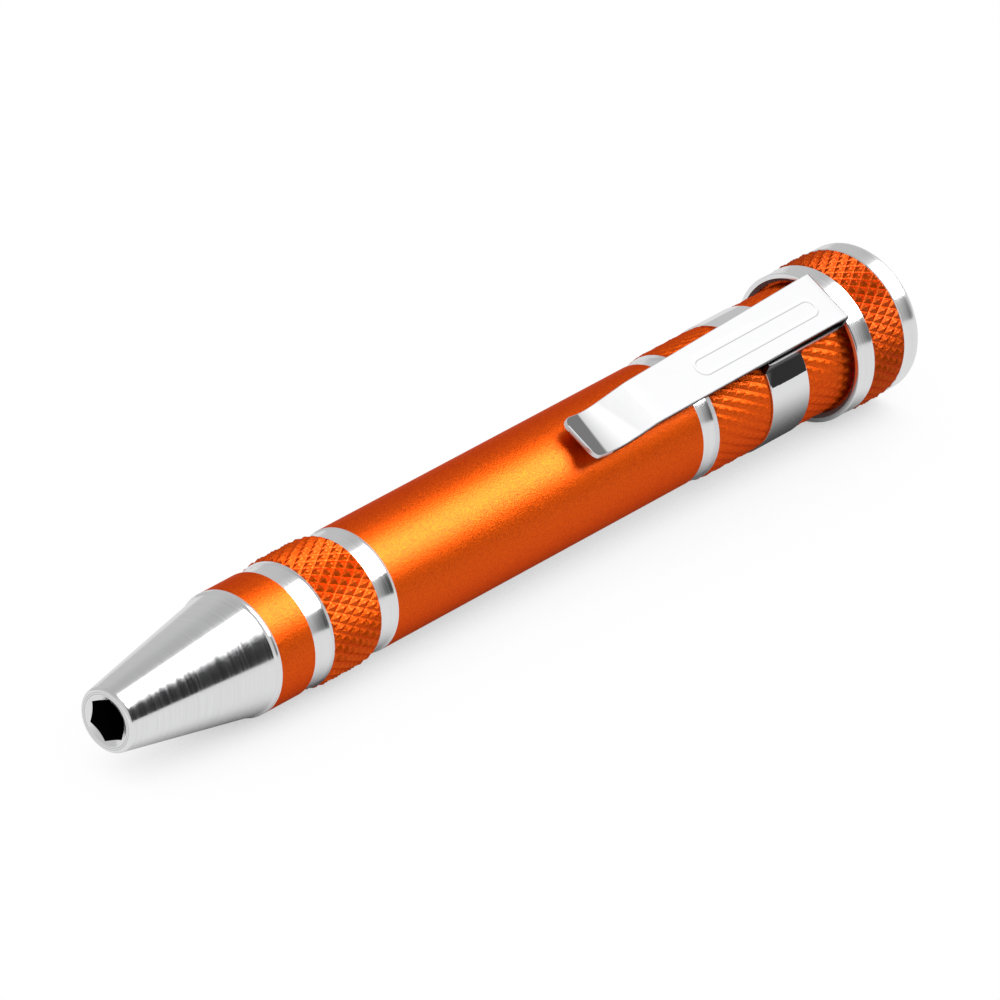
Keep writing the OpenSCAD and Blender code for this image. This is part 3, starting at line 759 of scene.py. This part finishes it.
def fold_and_run():
    """The top of the strip as rows of (station, up, the way it faces, and how far along the
    straight run it lies, or -1): round the squarish fold, then forwards, finely at the panel."""
    back_wall = FOLD_RADIUS - FOLD_CORNER
    rows = [(FOLD_STATION, FOLD_HEIGHT - FOLD_RADIUS, 0.0, -1.0, -1)]
    for k in range(FOLD_STEPS + 1):
        a = math.radians(-90 + 180 * k / FOLD_STEPS)
        reach = back_wall if k >= FOLD_STEPS / 2 else -back_wall
        rows.append((
            FOLD_STATION + back_wall + FOLD_CORNER * math.cos(a),
            FOLD_HEIGHT + reach + FOLD_CORNER * math.sin(a),
            math.cos(a), math.sin(a), -1,
        ))
    run_station, run_up = strip_bend[0] - strip_rear[0], strip_bend[1] - strip_rear[1]
    run = math.hypot(run_station, run_up)
    middle = PANEL_LENGTH - 2 * FINE_STRETCH
    front = run * (1 - REAR_BEND_SHARE) - panel_end - FRONT_START - FRONT_END
    along = [0.05, 0.3, 0.6, 0.9]
    along += [panel_start - BEFORE_PANEL + FINE_STEP * k for k in range(FINE_ROWS)]
    along += [panel_start + FINE_STRETCH + middle * k / MIDDLE_ROWS for k in range(1, MIDDLE_ROWS)]
    along += [panel_end - FINE_STRETCH + FINE_STEP * k for k in range(FINE_ROWS)]
    along += [panel_end + FRONT_START + front * k / FRONT_ROWS for k in range(FRONT_ROWS + 1)]
    return rows + [
        (strip_rear[0] + run_station * d / run, strip_rear[1] + run_up * d / run,
         run_up / run, -run_station / run, d)
        for d in along
    ]


TO_THE_TIP = (0.2, 0.4, 0.55, 0.68, 0.78, 0.86, 0.92, 0.96, 0.985, 1.0)


def front_rows(share):
    """The front of the strip from its bend over the valley to the tip, as rows of the same kind."""
    line = bent(strip_rear, strip_bend, strip_valley, REAR_BEND_SHARE)
    line += bent(strip_bend, strip_valley, strip_tip, share)
    end_station, end_up = line[-1]
    for s in TO_THE_TIP:
        line.append((end_station + (strip_tip[0] - end_station) * s,
                     end_up + (strip_tip[1] - end_up) * s))
    rows = []
    for k, (station, up) in enumerate(line):
        before, after = line[max(k - 1, 0)], line[min(k + 1, len(line) - 1)]
        size = math.hypot(after[0] - before[0], after[1] - before[1])
        facing = ((after[1] - before[1]) / size, -(after[0] - before[0]) / size)
        rows.append((station, up, *facing, -1))
    return rows


def forward_share(station):
    """How far forward on the strip a station lies, from 0 at the fold to 1 at the tip's corners."""
    return min(max((FOLD_STATION - station) / (FOLD_STATION - TIP_STATION - TIP_CORNER), 0), 1)


def strip_half(station):
    """Half the width of the strip, which narrows to its tip and has round corners there."""
    if station - TIP_STATION < TIP_CORNER:
        reach = TIP_CORNER ** 2 - (TIP_CORNER - (station - TIP_STATION)) ** 2
        return STRIP_TIP_HALF - TIP_CORNER + math.sqrt(max(reach, 0))
    return STRIP_REAR_HALF + (STRIP_TIP_HALF - STRIP_REAR_HALF) * forward_share(station)


# Columns of points across the strip, as shares of its half width: finely over the panel.
strip_columns = [-0.97 + 0.12 * k for k in range(6)] + [-0.36 + 0.86 * k / 70 for k in range(71)]
strip_columns += [0.58 + 0.1 * k for k in range(5)]

far_side = fold_and_run() + front_rows(FAR_BEND_SHARE)
near_side = fold_and_run() + front_rows(NEAR_BEND_SHARE)
loops = []
for k, (far_row, near_row) in enumerate(zip(far_side, near_side)):
    station, along = far_row[0], far_row[4]
    middle, half = TIP_OFFSET * forward_share(station), strip_half(station)
    shy = dict(zip((len(far_side) - 2, len(far_side) - 1), TIP_END)).get(k, 0)
    section = rounded_section(
        -half + shy, half - shy, SHEET - 2 * shy, SHEET_EDGE / 2 if shy else SHEET_EDGE,
        [half * share for share in strip_columns],
    )
    loop = []
    for side, depth in section:
        if depth == 0 and along > 0:
            depth = -channel_depth(along, middle + side)
        depth -= shy
        near = (side / half + 1) / 2
        at, up, facing_tail, facing_up, _ = (
            far * (1 - near) + close * near for far, close in zip(far_row, near_row)
        )
        loop.append(on_clip(at + depth * facing_tail, up + depth * facing_up, middle + side))
    loops.append(loop[::-1])
# The strip's underside takes the inside finish, painted shade, but for the last stretch before the
# tip.
names = other_way(finishes_round(section))
tip_loop = next(k for k, row in enumerate(far_side) if row[0] < TIP_STATION + LIGHT_EDGE_LENGTH)
strip = empty_shell()
skin(strip, loops, names, tip_loop, swapped(names, "inside", "sheared"))

strip = made("clip_strip_bent", strip, CLIP_FINISHES, CLIP_CREASE)
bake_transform(strip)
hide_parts("clip_arm")


# Pad: a disc of foam rubber in the end of the cap, which keeps the bits from rattling.
# It is cut from sheet and glued in. The CAD disc stays.
CELL_SIZE, CELL_DEPTH = (0.12, 0.12, 0.12), 0.04
DARK_RUBBER, PALE_RUBBER = (0.018, 0.018, 0.018), (0.045, 0.044, 0.042)


def foam_rubber():
    """Soft black rubber with the open cells of foam on its cut face."""
    material = bpy.data.materials.new("foam_rubber")
    material.use_nodes = True
    shader = material.node_tree.nodes["Principled BSDF"]
    shader.inputs["Roughness"].default_value = 0.85
    cells = grain(material, CELL_SIZE, detail=4)
    patches = tint(material, cells, DARK_RUBBER, PALE_RUBBER)
    feed(material.node_tree, patches, shader.inputs["Base Color"])
    relief(material, shader, cells, CELL_DEPTH)
    return material


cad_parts["cap_pad"].data.materials.clear()
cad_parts["cap_pad"].data.materials.append(foam_rubber())


# Tail cap: turned, knurled and anodised as the barrel is, and screwed onto its neck.
# Its flange, mouth and rear band are cut bright, and its closed end has a rounded edge.
FLANGE, FLANGE_END, REAR_BAND = 7.95, 104.25, 108.95
# The cap knurl's shade factor darkens its dye: painted shade for the knurl.
CAP_ROOT, CAP_POINT, UNDER_CAP_KNURL, CAP_KNURL_PAINTED_SHADE = 7.81, 8.11, 7.5, 0.66
CAP_MOUTH_RADIUS, MOUTH_CHAMFER, CAP_BORE, CAP_FLOOR, CAP_THREAD = 7.07, 0.4, 6.25, 109.6, 0.2
CAP_EDGE, CAP_EDGE_STEPS, BAND_EDGE, BAND_ROUND, BAND_MARGIN = 0.7, 10, 0.1, 0.03, 0.14
FLANGE_HOLLOW, REAR_HOLLOW = 0.04, 0.02


def mouth_metal():
    """The counterbore of the cap's mouth, cut bare with a coarse feed. Its dark grey, a touch blue,
    is painted shade, and it isn't shaded as metal, so that it stays a dark grey beside the orange."""
    material, shader = metal("mouth_painted_shade", (0.15, 0.17, 0.175), 0.42)
    shader.inputs["Metallic"].default_value = 0
    relief(material, shader, grain(material, (0.1, 2, 2), detail=2), 0.006)
    return material


def cap_edge():
    """Outline of the rounded edge of the closed end."""
    edge = []
    for k in range(1, CAP_EDGE_STEPS + 1):
        a = math.radians(90 * k / CAP_EDGE_STEPS)
        edge.append((
            TOOL_LENGTH - CAP_EDGE + CAP_EDGE * math.sin(a),
            FLANGE - CAP_EDGE + CAP_EDGE * math.cos(a),
            "bright" if k < CAP_EDGE_STEPS else "face",
        ))
    return edge


cap = empty_shell()
turn(cap, [
    (CAP_FLOOR, 0, "orange"),
    (CAP_FLOOR, CAP_BORE, "orange"),
    (NECK_END, CAP_BORE, "orange"),
])
thread(cap, NECK, NECK_END, CAP_BORE, -CAP_THREAD, "orange")
turn(cap, [
    (NECK, CAP_BORE, "orange"),
    (NECK, CAP_MOUTH_RADIUS, "mouth"),
    (CAP_MOUTH + MOUTH_CHAMFER, CAP_MOUTH_RADIUS, "mouth"),
    (CAP_MOUTH, CAP_MOUTH_RADIUS + MOUTH_CHAMFER, "bright"),
    (CAP_MOUTH, FLANGE - BAND_EDGE, "bright"),
    (CAP_MOUTH + BAND_ROUND, FLANGE - BAND_ROUND, "bright"),
    (CAP_MOUTH + BAND_EDGE, FLANGE, "bright"),
    *hollow_ring(
        CAP_MOUTH + BAND_MARGIN, FLANGE_END - BAND_MARGIN, FLANGE, FLANGE_HOLLOW, "bright",
    ),
    (FLANGE_END - BAND_EDGE, FLANGE, "bright"),
    (FLANGE_END, FLANGE - BAND_EDGE, "bright"),
    (FLANGE_END, UNDER_CAP_KNURL, "orange"),
    (REAR_BAND, UNDER_CAP_KNURL, "bright"),
    (REAR_BAND, FLANGE - BAND_EDGE, "bright"),
    (REAR_BAND + BAND_EDGE, FLANGE, "bright"),
    *hollow_ring(REAR_BAND + BAND_MARGIN, TOOL_LENGTH - CAP_EDGE, FLANGE, REAR_HOLLOW, "bright", 6),
    *cap_edge(),
    (TOOL_LENGTH, 0, "face"),
])
knurl(cap, FLANGE_END, REAR_BAND, CAP_ROOT, CAP_POINT, UNDER_CAP_KNURL, "knurled")

# The cap knurl's orange is a darker copy of the barrel's: painted shade.
cap = made("tail_cap_turned", cap, {
    "orange": ORANGE, "knurled": blasted_orange("cap_knurl_orange_painted_shade", CAP_KNURL_PAINTED_SHADE),
    "bright": BRIGHT, "face": FACE, "mouth": mouth_metal(),
})
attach(cap, "cap")
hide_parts("tail_cap")


# Studio: the tool lies on a plain white table, on the knurl of its cap and its front knurl.
# One big soft light stands behind the cap end, high up, before pale walls.
FLOOR_NOSE, FLOOR_CAP = (FRONT_KNURL, -KNURL_POINT), (FLANGE_END, -CAP_POINT)
FLOOR_HALF = 3.0

floor_mesh = bpy.data.meshes.new("table_top")
floor_mesh.from_pydata(
    [(x * FLOOR_HALF, y * FLOOR_HALF, 0) for x, y in ((-1, -1), (1, -1), (1, 1), (-1, 1))],
    [], [(0, 1, 2, 3)],
)
floor = bpy.data.objects.new("table_top", floor_mesh)
bpy.context.scene.collection.objects.link(floor)
floor.location = on_tool(*FLOOR_CAP, 0)
tilt = math.atan2(FLOOR_CAP[1] - FLOOR_NOSE[1], FLOOR_CAP[0] - FLOOR_NOSE[0])
floor.rotation_euler = (0, -tilt, 0)

SHADOW_REACH, SHADOW_POWER, SHADOW_DEPTH = 0.03, 3, 0.55
TABLE_UNDER_TOOL, TABLE_OPEN = 0.06, 0.76
DARK_BELOW, OPEN_ABOVE, DARK_SHIFT, OPEN_SHIFT = 0.14, 0.62, 0.3, 0.36


def table_white():
    """White to the camera but for the tool's soft shadow. To the tool it is a pale grey that
    darkens close under it, and more so in the chrome, which is a plain mirror."""
    material = bpy.data.materials.new("table_white")
    material.use_nodes = True
    tree = material.node_tree
    tree.nodes.remove(tree.nodes["Principled BSDF"])
    open_sky = tree.nodes.new("ShaderNodeAmbientOcclusion")
    open_sky.inputs["Distance"].default_value = SHADOW_REACH
    open_sky.samples = 8
    rays = tree.nodes.new("ShaderNodeLightPath")
    in_mirror = rays.outputs["Is Singular Ray"]

    covered = maths(tree, "SUBTRACT", 1, open_sky.outputs["AO"])
    covered = maths(tree, "POWER", covered, SHADOW_POWER)
    to_camera = maths(tree, "MULTIPLY_ADD", covered, -SHADOW_DEPTH, 1)
    to_tool = tree.nodes.new("ShaderNodeMapRange")
    for name, value in (
        ("Value", open_sky.outputs["AO"]),
        ("From Min", maths(tree, "MULTIPLY_ADD", in_mirror, DARK_SHIFT, DARK_BELOW)),
        ("From Max", maths(tree, "MULTIPLY_ADD", in_mirror, OPEN_SHIFT, OPEN_ABOVE)),
        ("To Min", TABLE_UNDER_TOOL),
        ("To Max", TABLE_OPEN),
    ):
        feed(tree, value, to_tool.inputs[name])

    choice = tree.nodes.new("ShaderNodeMix")
    feed(tree, rays.outputs["Is Camera Ray"], choice.inputs["Factor"])
    feed(tree, to_tool.outputs["Result"], choice.inputs["A"])
    feed(tree, to_camera, choice.inputs["B"])
    glow = tree.nodes.new("ShaderNodeEmission")
    feed(tree, choice.outputs["Result"], glow.inputs["Strength"])
    feed(tree, glow.outputs[0], tree.nodes["Material Output"].inputs["Surface"])
    return material


floor_mesh.materials.append(table_white())

world = bpy.data.worlds.new("studio")
bpy.context.scene.world = world
world.use_nodes = True
sky = world.node_tree


def rise(value, low, high):
    """0 below low and 1 above high, in degrees, with a soft step between."""
    node = sky.nodes.new("ShaderNodeMapRange")
    node.interpolation_type = "SMOOTHSTEP"
    for name, end in (("Value", value), ("From Min", low), ("From Max", high)):
        feed(sky, end, node.inputs[name])
    return node.outputs["Result"]


def window(value, low, low_full, high_full, high):
    """1 between the two full angles, and 0 below the low and above the high one."""
    fall = maths(sky, "SUBTRACT", 1, rise(value, high_full, high))
    return maths(sky, "MULTIPLY", rise(value, low, low_full), fall)


def lay_over(below, strength, mask):
    """Brings the surroundings to this strength where the mask is 1."""
    rest = maths(sky, "MULTIPLY", below, maths(sky, "SUBTRACT", 1, mask))
    return maths(sky, "MULTIPLY_ADD", mask, strength, rest)


# The walls' strengths, and patches laid over them. A patch is given in degrees round from the
# tool's tail, and up from the level: where it starts, is full, starts to fade and is gone.
NEAR_WALL, FAR_WALL, FAR_CEILING, BLACK_PANEL = 0.62, 0.55, 0.46, 0.02
FAR_WALL_AT, FAR_CEILING_AT = (14, 30), (30, 55)
BLACK_PANEL_ROUND, BLACK_PANEL_UP = (-112, -96, -57, -35), (-8, -2, 60, 70)
UNDER_LIGHT_ROUND, UNDER_LIGHT_UP = (-60, -50, 14, 24), (-4, -1, 22, 30)
UNDER_LIGHT_NEAR, UNDER_LIGHT_MORE, UNDER_LIGHT_PALER = 0.03, 0.17, (-44, -20)
LIGHT_ROUND, LIGHT_UP = (-60.4, -48.4, -15.5, 13.5), (24, 27.4, 65.5, 73.5)
LIGHT_SLANT_FROM, LIGHT_SLANT, LIGHT_STRENGTH, LIGHT_IN_MIRROR = -42, 0.86, 8.15, 1.1

split = sky.nodes.new("ShaderNodeSeparateXYZ")
feed(sky, sky.nodes.new("ShaderNodeTexCoord").outputs["Generated"], split.inputs[0])
azimuth = maths(sky, "ARCTAN2", split.outputs["Y"], split.outputs["X"])
azimuth = maths(sky, "MULTIPLY", azimuth, 180 / math.pi)
height = maths(sky, "MULTIPLY", maths(sky, "ARCSINE", split.outputs["Z"]), 180 / math.pi)
rays = sky.nodes.new("ShaderNodeLightPath")
in_mirror = rays.outputs["Is Singular Ray"]

walls = lay_over(NEAR_WALL, FAR_WALL, rise(azimuth, *FAR_WALL_AT))
ceiling = maths(sky, "MULTIPLY", rise(azimuth, *FAR_WALL_AT), rise(height, *FAR_CEILING_AT))
walls = lay_over(walls, FAR_CEILING, ceiling)
black_panel = maths(
    sky, "MULTIPLY", window(azimuth, *BLACK_PANEL_ROUND), window(height, *BLACK_PANEL_UP)
)
walls = lay_over(walls, BLACK_PANEL, black_panel)

under_light = maths(
    sky, "MULTIPLY", window(azimuth, *UNDER_LIGHT_ROUND), window(height, *UNDER_LIGHT_UP)
)
under_strength = maths(
    sky, "MULTIPLY_ADD", rise(azimuth, *UNDER_LIGHT_PALER), UNDER_LIGHT_MORE, UNDER_LIGHT_NEAR
)
walls = lay_over(walls, under_strength, maths(sky, "MULTIPLY", under_light, in_mirror))

slant = maths(sky, "MAXIMUM", maths(sky, "SUBTRACT", LIGHT_SLANT_FROM, azimuth), 0)
above_edge = maths(sky, "MULTIPLY_ADD", slant, -LIGHT_SLANT, height)
soft_light = maths(sky, "MULTIPLY", window(azimuth, *LIGHT_ROUND), window(above_edge, *LIGHT_UP))
light_strength = maths(
    sky, "MULTIPLY_ADD", in_mirror, LIGHT_IN_MIRROR - LIGHT_STRENGTH, LIGHT_STRENGTH
)
walls = lay_over(walls, light_strength, soft_light)
walls = lay_over(walls, 1.0, rays.outputs["Is Camera Ray"])
feed(sky, walls, sky.nodes["Background"].inputs["Strength"])
sky.nodes["Background"].inputs["Color"].default_value = (1, 1, 1, 1)

SENSOR, LENS, FAR_CLIP = 36, 407.6, 20
CAMERA_PLACE, VIEW_DIRECTION = (-0.7321, -0.6408, 0.5281), (0.6643, 0.5809, -0.4705)

camera = bpy.data.objects.new("camera", bpy.data.cameras.new("camera"))
bpy.context.scene.collection.objects.link(camera)
camera.data.sensor_width = SENSOR
camera.data.lens = LENS
camera.data.clip_end = FAR_CLIP
camera.location = CAMERA_PLACE
camera.rotation_euler = Vector(VIEW_DIRECTION).to_track_quat("-Z", "Y").to_euler()
bpy.context.scene.camera = camera
bpy.context.scene.view_settings.view_transform = "Standard"
